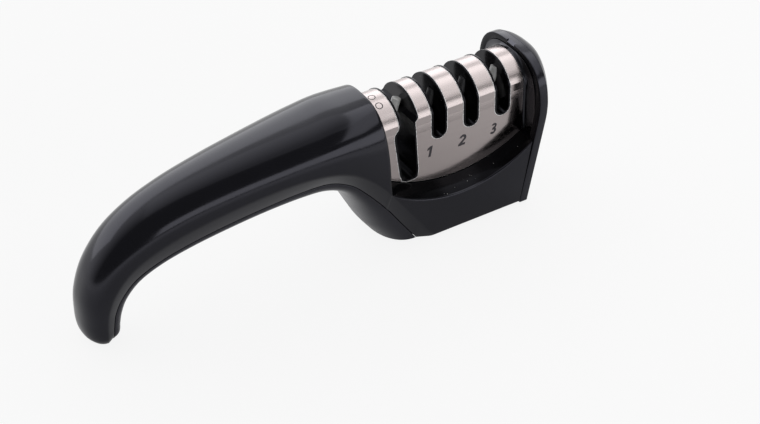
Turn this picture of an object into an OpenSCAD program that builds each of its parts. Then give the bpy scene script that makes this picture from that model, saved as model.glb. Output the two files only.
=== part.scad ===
/* [Handle] */
// Length of the handle from the head to its outer end
handle_l = 138; // [125:1:155]
// Height of the handle's top edge above the table
handle_h = 71.8; // [68:0.2:76]
// Width of the handle where it meets the head
handle_w = 46; // [44:0.5:50]
// Wall of the moulded shells
shell_wall = 2.4; // [2:0.1:2.8]
// Gap along the seam between the two shells
seam_gap = 0.15; // [0.1:0.05:0.3]

/* [Head] */
// Length of the head from the handle to the guard's lip
head_l = 75.5; // [74:0.5:80]
// Height of the base's underside above the table
base_z = 1.5; // [1:0.1:2.5]
// Length of the sloping seam along the head's left end
seam_run = 14; // [12:0.5:16]
// Length of the bevel along the head's left end
bevel_run = 21.6; // [19:0.2:24]
// Small bevel along the bottom edge of the base
base_bevel = 0.8; // [0.5:0.1:1.2]
// Height of the ledge where it dips lowest beside the steel
ledge_z = 23.6; // [22:0.2:25]
// Radius of the ledge's dip
ledge_r = 68; // [64:1:80]
// Fall of the ledge from the steel to its outer edge
ledge_fall = 1.8; // [1:0.1:2.4]
// Width of the sloping edge outside the ledge
edge_w = 4; // [3:0.25:5]
// Height of the front face's top edge where it dips lowest
front_z = 19.7; // [18.6:0.1:20.6]
// Radius of the front face's top edge
front_r = 58; // [54:1:64]

/* [Steel cover] */
// Depth of the steel cover over its flat faces
steel_d = 27.4; // [26:0.2:29]
// Height of the crown
crown_z = 68.2; // [66:0.2:70]
// Height at which the flat faces end
shoulder_z = 59; // [57:0.2:60.5]
// Thickness of the sheet
steel_t = 0.8; // [0.6:0.1:1]
// Length of the glossy collar between the steel and the guard
collar_l = 4.6; // [4:0.1:6]

/* [Slots] */
// Distance between the numbered slots
slot_pitch = 16.4; // [15.5:0.1:17]
// Distance from the handle to the first numbered slot
slot_x = 29.7; // [28.8:0.1:30.5]
// Opening of a numbered slot
slot_w = 6.2; // [5.2:0.1:6.6]
// Height of the numbered slots' round bottoms
slot_z = 46.2; // [44:0.2:48]
// Wall of the black rim round each slot
rim_t = 0.8; // [0.6:0.05:1]
// Height of the rim above the steel
rim_proud = 0.25; // [0.1:0.05:0.4]
// Distance from the handle to the middle of the scissors slot
scissor_x = 14.4; // [14:0.1:15]
// Opening of the scissors slot at its mouth
scissor_w = 8; // [7:0.1:8.4]
// Height of the scissors slot's bottom
scissor_z = 29.6; // [28.5:0.2:31]

/* [Rods] */
// Diameter of the sharpening rods
rod_d = 4; // [3.4:0.1:4.2]
// Lean of each rod from upright
rod_lean = 18; // [15:0.5:20]
// Height of the rods' upper ends
rod_top_z = 63; // [61:0.2:64]
// Height at which a pair of rods crosses
rod_cross_z = 51.5; // [50.5:0.2:53]
// Clearance round a rod in its hole
rod_clear = 0.1; // [0.05:0.05:0.2]

/* [Guard] */
// Width of the guard
guard_w = 48.4; // [47:0.2:51]
// Height of the guard
guard_h = 71; // [70.2:0.2:75]
// Thickness of the guard's edge band
guard_band = 3.9; // [3:0.1:4.5]
// Height of the dome outside the band
guard_dome = 6.2; // [5:0.2:8]
// How far the guard's foot leans in under its upper part
guard_lean = 8.8; // [7:0.2:9.6]
// Height up to which the guard leans
guard_knee = 46.5; // [42:0.5:52]
// Width of the lip round the guard's recess
guard_lip = 4; // [3:0.1:5]
// Depth of the recess behind the lip
recess_d = 2.7; // [2:0.1:3]
// Width of the notch in the guard's top edge
notch_w = 5.5; // [4:0.5:7]
// Depth of the notch
notch_h = 1; // [0.6:0.1:1.4]

/* [Fasteners] */
// Thread diameter of the self-tapping screws
screw_d = 2.9; // [2.6:0.1:3.2]
// Head diameter of the screws
screw_head_d = 5.4; // [5:0.1:5.8]
// Height of the screw heads
screw_head_h = 1.8; // [1.5:0.1:2]

/* [Hidden] */
$fn = 64;

black = [0.09, 0.09, 0.10];
gloss_black = [0.04, 0.04, 0.05];
steel_grey = [0.78, 0.77, 0.76];
ceramic_white = [0.93, 0.93, 0.90];
grit_grey = [0.42, 0.42, 0.44];
screw_grey = [0.62, 0.62, 0.64];
rubber_grey = [0.16, 0.16, 0.17];

// One overrun for every cut and a general assembly clearance
over = 1;
clear = 0.2;
handle_half = handle_w / 2;
steel_half = steel_d / 2;
junction_x = -head_l / 2;
wall = shell_wall;
steel_l = head_l + recess_d - collar_l - 2 * clear;

// The handle's stations, as shares of its length, height and half width: the top line, the seam
// and the bottom line, each a length and a height, then the half widths at the crease and at the
// seam, and the crease's share of the way from the seam to the top
station_shares = [
    [0, 1, 0, 0.306, 0.055, 0.202, 1, 0.817, 0.205],
    [0.065, 1.001, 0.065, 0.46, 0.098, 0.362, 0.991, 0.796, 0.25],
    [0.13, 0.999, 0.123, 0.568, 0.141, 0.467, 0.965, 0.77, 0.262],
    [0.203, 0.984, 0.196, 0.628, 0.206, 0.517, 0.925, 0.739, 0.28],
    [0.29, 0.966, 0.29, 0.635, 0.29, 0.527, 0.874, 0.713, 0.33],
    [0.406, 0.938, 0.406, 0.613, 0.406, 0.518, 0.812, 0.67, 0.36],
    [0.536, 0.9, 0.53, 0.58, 0.523, 0.49, 0.751, 0.626, 0.36],
    [0.667, 0.848, 0.652, 0.535, 0.639, 0.454, 0.692, 0.583, 0.35],
    [0.783, 0.772, 0.754, 0.477, 0.733, 0.407, 0.64, 0.539, 0.34],
    [0.879, 0.66, 0.832, 0.4, 0.804, 0.34, 0.59, 0.494, 0.33],
    [0.952, 0.5, 0.88, 0.296, 0.848, 0.25, 0.545, 0.45, 0.32],
    [0.991, 0.32, 0.905, 0.195, 0.868, 0.16, 0.515, 0.42, 0.31],
    [1, 0.16, 0.914, 0.1, 0.878, 0.084, 0.493, 0.4, 0.3],
    [0.996, 0.052, 0.917, 0.036, 0.882, 0.032, 0.472, 0.385, 0.3],
    [0.978, 0, 0.92, 0, 0.896, 0, 0.4, 0.32, 0.3]];
// The seam and the bottom line on the head's left end, as shares of the seam's run and height,
// then the half width at the seam
fan_shares = [
    [0.45, 0.55, -0.3, 0.32, 0.829],
    [1, 0, 0.03, 0, 0.843]];
// How much of its depth the hollow keeps at each station
hollow_shares = [1, 1, 1, 1, 1, 1, 1, 1, 1, 0.9, 0.75, 0.5, 0.3, 0.2, 0.2];
steps = 3;
arch_parts = 8;
arch_power = 2.8;
handle_power = 2.3;
belly_power = 2.2;

seam_h0 = station_shares[0][3] * handle_h - base_z;
top_stations = [for (i = [0:len(station_shares) - 1]) let (s = station_shares[i]) [
    junction_x - s[0] * handle_l, s[1] * handle_h,
    junction_x - s[2] * handle_l, s[3] * handle_h,
    junction_x - s[4] * handle_l, s[5] * handle_h,
    s[6] * handle_half, s[7] * handle_half, s[8], hollow_shares[i],
    along(arch_power, handle_power, min(1, 3 * s[0]))]];
fan_stations = [for (s = fan_shares) [
    junction_x, handle_h,
    junction_x + s[0] * seam_run, base_z + s[1] * seam_h0,
    junction_x + s[2] * seam_run, base_z + s[3] * seam_h0,
    handle_half, s[4] * handle_half, station_shares[0][8], 1, arch_power]];
fan_count = len(fan_stations);
belly_stations = [
    for (i = [fan_count - 1:-1:0]) fan_stations[i],
    for (s = top_stations) s];

function spline_at(p, i, t) = let (
        a = p[max(i - 1, 0)], b = p[i], c = p[i + 1], d = p[min(i + 2, len(p) - 1)])
    (2 * b + (c - a) * t + (2 * a - 5 * b + 4 * c - d) * t ^ 2
        + (3 * b - a - 3 * c + d) * t ^ 3) / 2;
function smooth(p) = [
    for (i = [0:len(p) - 2], k = [0:steps - 1]) spline_at(p, i, k / steps),
    p[len(p) - 1]];
function along(a, b, f) = a + f * (b - a);
function unit(v) = v / norm(v);
function power(v, p) = sign(v) * abs(v) ^ (2 / p);

belly_line = smooth(belly_stations);
junction_index = fan_count * steps;
top_line = [for (i = [junction_index:len(belly_line) - 1]) belly_line[i]];

// A solid through closed loops of equal length. A cap's triangles lie between the points that face
// each other across the loop, counted from its two ends
module loft(loops) {
    n = len(loops[0]);
    last = (len(loops) - 1) * n;
    sides = [for (i = [0:len(loops) - 2], j = [0:n - 1]) let (
            a = i * n + j, b = i * n + (j + 1) % n, c = b + n, d = a + n)
        each [[a, b, c], [a, c, d]]];
    caps = [for (i = [0:ceil(n / 2) - 2]) let (a = i, b = i + 1, c = n - 2 - i, d = n - 1 - i)
        each b == c ? [[a, d, b], [last + a, last + b, last + d]]
            : [[a, c, b], [a, d, c], [last + a, last + b, last + c], [last + a, last + c, last + d]]];
    polyhedron([for (l = loops) each l], concat(sides, caps), convexity = 8);
}

// Half of the handle's outline at a station, from the seam over the crease to the top, made
// narrower by an inset; both_sides lays it and its mirror image between two points
function arch_half(v, inset, depth) = [
    [v[7] - inset, 0],
    for (k = [0:arch_parts]) let (a = 90 * k / arch_parts)
        [(v[6] - inset) * power(cos(a), v[10]),
            depth * along(v[8], 1, power(sin(a), v[10]))]];
function both_sides(half, seam, top) = let (
        points = concat([for (p = half) [-p[0], p[1]]],
            [for (i = [len(half) - 2:-1:0]) half[i]]))
    [for (p = points) let (q = along(seam, top, p[1])) [q[0], p[0], q[1]]];
function reversed(list) = [for (i = [len(list) - 1:-1:0]) list[i]];

function handle_loop(v) = let (
        top = [v[0], v[1]], seam = [v[2], v[3]],
        inner_top = top - wall * unit(top - seam))
    concat(
        both_sides(arch_half(v, 0, 1), seam, top),
        reversed(both_sides(arch_half(v, wall, v[9]), seam, inner_top)));

function belly_half(w, depth) = [for (k = [0:arch_parts]) let (a = 90 * k / arch_parts)
    [w * power(cos(a), belly_power), depth * power(sin(a), belly_power)]];
function belly_loop(v) = let (
        seam = [v[2], v[3]], bottom = [v[4], v[5]], down = unit(bottom - seam),
        low = seam + seam_gap * down, inner = bottom - wall * down)
    concat(
        both_sides(belly_half(v[7], 1), low, bottom),
        reversed(both_sides(belly_half(v[7] - wall, v[9]), low, inner)));

// Heights along the head, where x counts from the handle
function dip(x, r) = r - sqrt(r ^ 2 - x ^ 2);
dip_x = head_l / 2;
function ledge_at(x) = ledge_z + dip(x - dip_x, ledge_r);
function ledge_edge_at(x) = ledge_at(x) - ledge_fall;
function front_at(x) = front_z + dip(x - dip_x + ledge_fall, front_r);
bevel_top = front_at(0);
function crease_at(x) = max(base_z + base_bevel, along(bevel_top, base_z, x / bevel_run));
seam_w1 = fan_shares[fan_count - 1][4] * handle_half;
function foot_half_at(x) = min(handle_half - base_bevel,
    along(seam_w1, handle_half, (x - seam_run) / (bevel_run - seam_run)));

// The guard's inner face leans in below its knee
function guard_in(z) = junction_x + head_l
    - guard_lean * max(0, (guard_knee - z) / (guard_knee - base_z));

liner_half = steel_half - steel_t - clear;
deck_half = liner_half + clear;
function wall_loop(x, seam_half, seam_h, end = false) = let (
        z = ledge_at(x), e = ledge_edge_at(x), f = front_at(x), c = min(crease_at(x), f - base_bevel),
        flat = [
            [deck_half, z], [handle_half - edge_w, e], [handle_half, f], [handle_half, c],
            [seam_half, seam_h], [seam_half - wall, seam_h],
            [handle_half - wall, min(c + wall / 2, f - wall - base_bevel)], [handle_half - wall, f - wall],
            [handle_half - edge_w - wall / 2, e - wall], [deck_half, z - wall]])
    [for (p = flat) [end ? guard_in(p[1]) - seam_gap : junction_x + x, -p[0], p[1]]];
head_steps = 10;
wall_loops = concat(
    [for (i = [junction_index:-1:0]) let (v = belly_line[i])
        wall_loop(v[2] - junction_x, v[7], max(v[3], base_z))],
    [wall_loop(bevel_run, foot_half_at(bevel_run), base_z)],
    [for (k = [1:head_steps - 1]) let (x = along(bevel_run, head_l - guard_lean, k / head_steps))
        wall_loop(x, foot_half_at(x), base_z)],
    [wall_loop(head_l - guard_lean / 2, foot_half_at(head_l), base_z, true)]);

// A bar with the cover's domed outline, smaller by an inset all round
crown_rise = crown_z - shoulder_z;
crown_r = (steel_half ^ 2 + crown_rise ^ 2) / (2 * crown_rise);
crown_mid = crown_z - crown_r;
module domed_bar(x0, x1, low, inset = 0) {
    intersection() {
        translate([x0, -steel_half + inset, low])
            cube([x1 - x0, steel_d - 2 * inset, crown_z - low + over]);
        union() {
            translate([x0, 0, crown_mid])
                rotate([0, 90, 0]) cylinder(r = crown_r - inset, h = x1 - x0, $fn = 96);
            translate([x0, -steel_d, low]) cube([x1 - x0, 2 * steel_d, crown_mid - low]);
        }
    }
}

module through(depth) {
    rotate([90, 0, 0]) linear_extrude(height = depth, center = true) children();
}

slot_centres = [for (k = [0:2]) junction_x + slot_x + k * slot_pitch];
cut_top = crown_z + 2 * over;
module slot_outline(x, grow) {
    r = slot_w / 2 + grow;
    translate([x, slot_z + slot_w / 2]) circle(r = r);
    translate([x - r, slot_z + slot_w / 2]) square([2 * r, cut_top - slot_z - slot_w / 2]);
}

// The scissors slot steps to the left at its waist and narrows downwards; its outline goes up the
// left side, as shares of the mouth's width and of the height above the bottom
scissor_left_shares = [[-0.1, 0], [-0.36, 0.035], [-0.5, 0.12], [-0.79, 0.76], [-0.79, 0.84], [-0.5, 0.95]];
scissor_right_shares = [[0.25, 0], [0.42, 0.035], [0.46, 0.12], [0.29, 0.97], [0.5, 1.03]];
scissor_mid = junction_x + scissor_x;
scissor_h = shoulder_z - scissor_z;
// Its first two points on each side belong to the rounded bottom
function scissor_side(shares, grow) = [for (i = [0:len(shares) - 1]) [
    scissor_mid + shares[i][0] * scissor_w + sign(shares[1][0]) * grow,
    scissor_z + shares[i][1] * scissor_h - (i > 1 ? 0 : grow)]];
module scissor_outline(grow) {
    polygon(concat(
        reversed(scissor_side(scissor_left_shares, grow)),
        scissor_side(scissor_right_shares, grow),
        [[scissor_mid + scissor_w / 2 + grow, cut_top], [scissor_mid - scissor_w / 2 - grow, cut_top]]));
}
module slot_cuts(grow, depth) {
    for (x = slot_centres) through(depth) slot_outline(x, grow);
    through(depth) scissor_outline(grow);
}

// Screw places: [x, y] along the base, counted from the handle where x is a length
base_screw_x = 25;
base_screw_y = 15.8;
guard_screw_x = 61;
guard_screw_y = 9;
liner_screw_x = [14, 54];
liner_screw_y = 15.4;
collar_screw_y = 7;
collar_screw_z = 44;
handle_screw_x = [-36, -84];
base_screw_places = [for (y = [-1, 1]) each [
    [junction_x + base_screw_x, y * base_screw_y], [junction_x + guard_screw_x, y * guard_screw_y]]];
keeper_screw_l = 8;
liner_screw_l = 7;
base_screw_l = 9;
collar_screw_l = 8;
handle_screw_l = 12;
boss_r = 2.6;
handle_sink = 4.5;
base_sink = screw_head_h + clear;
thread_depth = 0.25;
pilot_r = screw_d / 2 - thread_depth;
free_r = screw_d / 2 + clear;
head_r = screw_head_d / 2 + clear;

plate_t = 2.2;
flange_t = 2;
flange_z = 15.5;
spine_z = 38.5;
spine_half = 4.8;
keeper_t = 2;
liner_wall = 1.6;
seat_top = base_z + base_sink + liner_wall;

module screw(length) {
    cylinder(d = screw_head_d, h = screw_head_h, $fn = 40);
    translate([0, 0, screw_head_h]) cylinder(r = pilot_r - clear / 4, h = length, $fn = 32);
}

module upper_housing() {
    color(black) difference() {
        union() {
            loft([for (v = reversed(top_line)) handle_loop(v)]);
            bulkhead();
            for (s = [0, 1]) mirror([0, s, 0]) {
                loft(reversed(wall_loops));
                for (x = liner_screw_x) translate([junction_x + x, liner_screw_y, flange_z + flange_t + clear / 2])
                    cylinder(r = boss_r, h = ledge_at(x) - wall / 2 - ledge_fall - flange_z - flange_t);
                translate([junction_x + base_screw_x, base_screw_y, seat_top + clear / 2]) {
                    cylinder(r = boss_r, h = flange_z - seat_top - clear);
                    translate([-boss_r / 2, 0, 0])
                        cube([boss_r, handle_half - wall / 2 - base_screw_y, flange_z - seat_top - clear]);
                }
            }
            for (x = handle_screw_x) handle_boss(x);
        }
        for (y = [-1, 1]) {
            for (x = liner_screw_x) translate([junction_x + x, y * liner_screw_y, flange_z])
                cylinder(r = pilot_r, h = liner_screw_l, $fn = 32);
            translate([junction_x + base_screw_x, y * base_screw_y, base_z + base_sink])
                cylinder(r = pilot_r, h = base_screw_l + clear, $fn = 32);
        }
        for (x = handle_screw_x) translate([junction_x + x, 0, handle_split_z(x) - over])
            cylinder(r = pilot_r, h = handle_screw_l, $fn = 32);
    }
}

// A wall that closes the handle's end above the seam
module bulkhead() {
    v = top_stations[0];
    low = handle_split_z(-wall) + clear;
    points = both_sides(arch_half(v, wall / 2, 1), [v[0], low], [v[0], v[1] - wall / 2]);
    translate([junction_x - wall, 0, 0]) rotate([90, 0, 90])
        linear_extrude(height = wall) polygon([for (p = points) [p[1], p[2]]]);
}

// The top, seam and bottom heights along the handle, where x counts from the head
function row_at(x, column) = let (
        target = junction_x + x,
        i = [for (k = [0:len(top_line) - 2])
            if (top_line[k][column] >= target && top_line[k + 1][column] < target) k][0],
        a = top_line[i], b = top_line[i + 1])
    along(a, b, (target - a[column]) / (b[column] - a[column]));
function handle_roof_z(x) = row_at(x, 0)[1];
function handle_split_z(x) = row_at(x, 2)[3];
function handle_floor_z(x) = row_at(x, 4)[5];
module handle_boss(x) {
    z = handle_split_z(x) + clear / 2;
    translate([junction_x + x, 0, z]) cylinder(r = boss_r, h = handle_roof_z(x) - wall / 2 - z);
}

module underside_cover() {
    color(black) difference() {
        union() {
            loft([for (v = belly_line) belly_loop(v)]);
            base_plate();
            for (x = handle_screw_x) translate([junction_x + x, 0, handle_floor_z(x) + wall / 2])
                cylinder(r = boss_r + wall / 2, h = handle_split_z(x) - handle_floor_z(x) - wall / 2 - clear / 2);
        }
        for (x = handle_screw_x) translate([junction_x + x, 0, 0]) {
            translate([0, 0, handle_floor_z(x) - over])
                cylinder(r = free_r, h = handle_split_z(x) - handle_floor_z(x) + 2 * over, $fn = 32);
            translate([0, 0, handle_floor_z(x) - over])
                cylinder(r = head_r, h = over + handle_sink, $fn = 40);
        }
        for (p = base_screw_places) translate([p[0], p[1], base_z - over]) {
            cylinder(r = free_r, h = seat_top - base_z + 2 * over, $fn = 32);
            cylinder(r = head_r, h = over + base_sink, $fn = 40);
        }
        translate([pad_x0 - clear, -pad_half - clear, base_z - over])
            cube([pad_x1 - pad_x0 + 2 * clear, 2 * pad_half + 2 * clear, over + pad_sink]);
    }
}
pad_l = 34;
pad_half = 12.4;
pad_sink = 0.8;
pad_x0 = junction_x + bevel_run + 2 * clear;
pad_x1 = pad_x0 + pad_l;

// The flat bottom of the base, inside the walls and under the belly
module base_plate() {
    v = belly_line[0];
    x0 = v[2] - plate_t;
    belly = both_sides(belly_half(v[7] - wall / 2, 1), [x0, v[3]], [v[4] + wall / 2, v[5]]);
    y1 = handle_half - base_bevel - wall - clear;
    x1 = guard_in(base_z) - clear;
    y0 = seam_w1 - wall - clear;
    front = [[x0, -y0], [v[2], -y0], [junction_x + bevel_run, -y1], [x1, -y1]];
    translate([0, 0, base_z]) linear_extrude(height = plate_t) polygon(concat(
        reversed([for (p = belly) [p[0], p[1]]]),
        front,
        [for (p = reversed(front)) [p[0], -p[1]]]));
    for (p = base_screw_places) translate([p[0], p[1], base_z])
        cylinder(r = head_r + liner_wall / 2, h = seat_top - base_z, $fn = 40);
}

module steel_cover() {
    x0 = junction_x + clear;
    color(steel_grey) difference() {
        domed_bar(x0, x0 + steel_l, base_z);
        domed_bar(x0 - over, x0 + steel_l + over, base_z - over, steel_t);
        slot_cuts(rim_t + clear / 4, steel_d + 2 * over);
        steel_foot_cut();
    }
}

// Takes the steel away below its curved bottom edge, which follows the ledge
module steel_foot_cut() {
    through(steel_d + 2 * over) difference() {
        translate([junction_x - over, -over]) square([head_l + 2 * over, ledge_z + head_l / 2]);
        translate([junction_x + dip_x, ledge_z + ledge_r + clear]) circle(r = ledge_r, $fn = 128);
    }
}

liner_x0 = junction_x + clear;
liner_x1 = junction_x + clear + steel_l;
liner_foot_x0 = liner_x0 + wall;
liner_foot_x1 = guard_in(flange_z) - clear;
hollow_x0 = liner_foot_x0 + liner_wall;
hollow_x1 = liner_foot_x1 - liner_wall;
module slot_liner() {
    color(gloss_black) difference() {
        union() {
            domed_bar(liner_x0, liner_x1, spine_z - flange_t, steel_t + clear);
            translate([liner_foot_x0, -liner_half, flange_z])
                cube([liner_foot_x1 - liner_foot_x0, 2 * liner_half, spine_z - flange_z]);
            translate([junction_x + liner_screw_x[0] - 2 * wall, -liner_screw_y - wall, flange_z])
                cube([liner_screw_x[1] - liner_screw_x[0] + 4 * wall, 2 * (liner_screw_y + wall), flange_t]);
            intersection() {
                domed_bar(liner_x0, liner_x1, spine_z - flange_t - scissor_h, -rim_proud);
                slot_cuts(rim_t, steel_d + 2 * over);
            }
        }
        difference() {
            liner_pockets();
            through(steel_d) scissor_outline(liner_wall);
        }
        slot_cuts(0, steel_d + 2 * over);
        leaning(scissor_rod_x, scissor_rod_lean, 0, scissor_foot_z)
            cylinder(r = rod_d / 2 + rod_clear, h = (rod_top_z - scissor_foot_z) / cos(scissor_rod_lean) + clear, $fn = 40);
        for (x = slot_centres, s = [-1, 1]) rod_hole(x, s * rod_lean, -s);
        for (x = keeper_screw_xs) translate([x, 0, spine_z - over])
            cylinder(r = pilot_r, h = keeper_screw_l, $fn = 32);
        for (x = liner_screw_x, y = [-1, 1]) translate([junction_x + x, y * liner_screw_y, flange_z - over])
            cylinder(r = free_r, h = flange_t + 2 * over, $fn = 32);
    }
}

// Cores that leave walls of even thickness: two rows of pockets and one wide hollow underneath
module liner_pockets() {
    half = liner_half - liner_wall;
    edges = [liner_x0, scissor_mid, each slot_centres, liner_x1];
    translate([hollow_x0, -half, flange_z - over])
        cube([hollow_x1 - hollow_x0, 2 * half, spine_z - flange_z + over]);
    for (k = [1:3], s = [-1, 1]) {
        x0 = edges[k] + slot_w / 2 + rim_t + liner_wall;
        x1 = edges[k + 1] - slot_w / 2 - rim_t - liner_wall;
        translate([x0, s > 0 ? spine_half : -half, spine_z - over])
            cube([x1 - x0, half - spine_half, shoulder_z - spine_z - liner_wall]);
    }
}

// Each rod stands on the keeper; the scissors rod stands in a blind hole
rod_foot_z = spine_z + rod_d / 2 * sin(rod_lean) + clear;
scissor_rod_lean = 19;
scissor_rod_x = scissor_mid - 2 * rim_t;
scissor_foot_z = rod_foot_z + liner_wall;
keeper_screw_xs = [for (k = [0:1]) slot_centres[k] + slot_pitch / 2];
module leaning(x, lean, side, foot) {
    translate([x, side * (rod_d / 2 + rod_clear + clear / 4), rod_cross_z])
        rotate([0, lean, 0]) translate([0, 0, -(rod_cross_z - foot) / cos(lean)]) children();
}
module rod(x, lean, side, foot) {
    leaning(x, lean, side, foot) cylinder(d = rod_d, h = (rod_top_z - foot) / cos(lean), $fn = 40);
}
module rod_hole(x, lean, side) {
    leaning(x, lean, side, rod_foot_z) translate([0, 0, -slot_w])
        cylinder(r = rod_d / 2 + rod_clear, h = (rod_top_z - rod_foot_z) / cos(lean) + slot_w + clear, $fn = 40);
}

module scissor_rod() { color(ceramic_white) rod(scissor_rod_x, scissor_rod_lean, 0, scissor_foot_z + clear / 2); }
module coarse_rod_left() { color(grit_grey) rod(slot_centres[0], -rod_lean, 1, rod_foot_z); }
module coarse_rod_right() { color(grit_grey) rod(slot_centres[0], rod_lean, -1, rod_foot_z); }
module fine_rod_left() { color(grit_grey) rod(slot_centres[1], -rod_lean, 1, rod_foot_z); }
module fine_rod_right() { color(grit_grey) rod(slot_centres[1], rod_lean, -1, rod_foot_z); }
module polish_rod_left() { color(ceramic_white) rod(slot_centres[2], -rod_lean, 1, rod_foot_z); }
module polish_rod_right() { color(ceramic_white) rod(slot_centres[2], rod_lean, -1, rod_foot_z); }

module rod_keeper() {
    x0 = slot_centres[0] - slot_pitch / 2;
    x1 = hollow_x1 - clear;
    color(black) difference() {
        translate([x0, -2 * spine_half, spine_z - keeper_t - clear / 4])
            cube([x1 - x0, 4 * spine_half, keeper_t]);
        for (x = keeper_screw_xs) translate([x, 0, spine_z - keeper_t - over])
            cylinder(r = free_r, h = keeper_t + 2 * over, $fn = 32);
    }
}

recess_z = ledge_at(steel_l) - steel_t;
collar_z = recess_z + clear;

// The collar flares from the steel's outline to the recess
collar_half_outline = let (r = crown_r - clear / 2, half = steel_half - clear / 2) concat(
    [[half, collar_z]],
    [for (k = [0:arch_parts]) let (a = asin(half / r) * (1 - k / arch_parts)) [r * sin(a), crown_mid + r * cos(a)]]);
function collar_loop(x, half) = [for (p = both_halves(half)) [x, p[0], max(p[1], collar_z)]];
module end_collar() {
    x0 = liner_x1 + clear / 2;
    x1 = junction_x + head_l + recess_d - clear / 2;
    color(gloss_black) difference() {
        loft([collar_loop(x0, collar_half_outline), collar_loop(junction_x + head_l - clear, recess_half(clear)),
            collar_loop(x1, recess_half(clear))]);
        for (y = [-1, 1]) translate([x0 - over, y * collar_screw_y, collar_screw_z]) rotate([0, 90, 0]) {
            cylinder(r = free_r, h = x1 - x0 + 2 * over, $fn = 32);
            cylinder(r = head_r, h = over + screw_head_h + clear, $fn = 40);
        }
    }
}
// The guard's outline, as shares of its half width and height, from the front foot to the top. Its foot is
// as wide as the base.
guard_foot_share = (handle_half + clear / 2) / (guard_w / 2);
guard_side_shares = [[guard_foot_share, 0], [(1 + guard_foot_share) / 2, 0.3], [1, 0.638]];
guard_power = 2.8;
guard_half_outline = concat(
    guard_side_shares,
    [for (k = [1:arch_parts]) let (a = 90 * k / arch_parts, z0 = guard_side_shares[2][1])
        [power(cos(a), guard_power), z0 + (1 - z0) * power(sin(a), guard_power)]]);
// The dome's rings, as shares of its height, of the outline's width and of the outline's height
dome_shares = [[0, 1, 1], [0.15, 0.945, 0.998], [0.36, 0.865, 0.992], [0.55, 0.78, 0.982], [0.72, 0.68, 0.97],
    [0.85, 0.56, 0.955], [0.94, 0.42, 0.938], [0.985, 0.26, 0.922]];
function guard_loop(off, wide, tall) = let (
        h = guard_h - base_z,
        half = [for (p = guard_half_outline) [p[0] * wide * guard_w / 2, base_z + h * p[1] * tall]])
    [for (p = both_halves(half)) [guard_in(p[1]) + off, p[0], p[1]]];
module end_guard() {
    loops = concat([guard_loop(0, 1, 1)],
        [for (d = dome_shares) guard_loop(guard_band + d[0] * guard_dome, d[1], d[2])]);
    recess_x = junction_x + head_l + recess_d;
    color(black) difference() {
        union() {
            loft(loops);
            translate([junction_x + guard_screw_x - boss_r, -guard_screw_y - boss_r, seat_top + clear / 2])
                cube([head_l - guard_screw_x, 2 * (guard_screw_y + boss_r), flange_z - seat_top - 2 * clear]);
        }
        recess();
        // The notch slants from the lip up to the band
        translate([junction_x + head_l, notch_w / 2, guard_h]) rotate([90, 0, 0])
            linear_extrude(height = notch_w)
                polygon([[-over, -notch_h - over], [0, -notch_h], [notch_h, 0], [notch_h + over, over], [-over, over]]);
        for (y = [-1, 1]) {
            translate([recess_x - over, y * collar_screw_y, collar_screw_z]) rotate([0, 90, 0])
                cylinder(r = pilot_r, h = over + collar_screw_l / 2, $fn = 32);
            translate([junction_x + guard_screw_x, y * guard_screw_y, base_z + base_sink])
                cylinder(r = pilot_r, h = base_screw_l + clear, $fn = 32);
        }
    }
}

// The dished recess that takes the collar
recess_side_share = 0.4;
function recess_half(inset) = let (
        half = guard_w / 2 - guard_lip - inset,
        top = crown_z + 2 * clear - inset,
        shares = concat([[1, 0]], [for (k = [0:arch_parts]) let (a = 90 * k / arch_parts)
            [power(cos(a), guard_power), along(recess_side_share, 1, power(sin(a), guard_power))]]))
    [for (p = shares) [p[0] * half, along(recess_z, top, p[1])]];
function both_halves(half) = concat([for (p = half) [-p[0], p[1]]], reversed([for (i = [0:len(half) - 2]) half[i]]));
module recess() {
    x0 = junction_x + head_l - 2 * guard_lean;
    x1 = junction_x + head_l + recess_d;
    translate([x0, 0, 0]) rotate([90, 0, 90]) linear_extrude(height = x1 - x0) polygon(both_halves(recess_half(0)));
}

module base_pad() {
    color(rubber_grey) translate([pad_x0, -pad_half, 0])
        cube([pad_x1 - pad_x0, 2 * pad_half, base_z + pad_sink]);
}

module keeper_screws() {
    color(screw_grey) for (x = keeper_screw_xs)
        translate([x, 0, spine_z - keeper_t - screw_head_h - clear / 4]) screw(keeper_screw_l - over);
}
module liner_screws() {
    color(screw_grey) for (x = liner_screw_x, y = [-1, 1])
        translate([junction_x + x, y * liner_screw_y, flange_z - screw_head_h]) screw(liner_screw_l - over);
}
module guard_screws() {
    color(screw_grey) for (y = [-1, 1])
        translate([liner_x1 + clear, y * collar_screw_y, collar_screw_z]) rotate([0, 90, 0])
            screw(collar_screw_l / 2);
}
module base_screws() {
    color(screw_grey) for (p = base_screw_places)
        translate([p[0], p[1], base_z + base_sink - screw_head_h]) screw(base_screw_l);
}
module handle_screws() {
    color(screw_grey) for (x = handle_screw_x)
        translate([junction_x + x, 0, handle_floor_z(x) + handle_sink - screw_head_h]) screw(handle_screw_l);
}

upper_housing();
underside_cover();
steel_cover();
slot_liner();
rod_keeper();
end_guard();
end_collar();
scissor_rod();
coarse_rod_left();
coarse_rod_right();
fine_rod_left();
fine_rod_right();
polish_rod_left();
polish_rod_right();
base_pad();
keeper_screws();
liner_screws();
guard_screws();
base_screws();
handle_screws();
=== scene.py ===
import math

import bmesh
import bpy
from mathutils import Matrix, Vector


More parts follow.
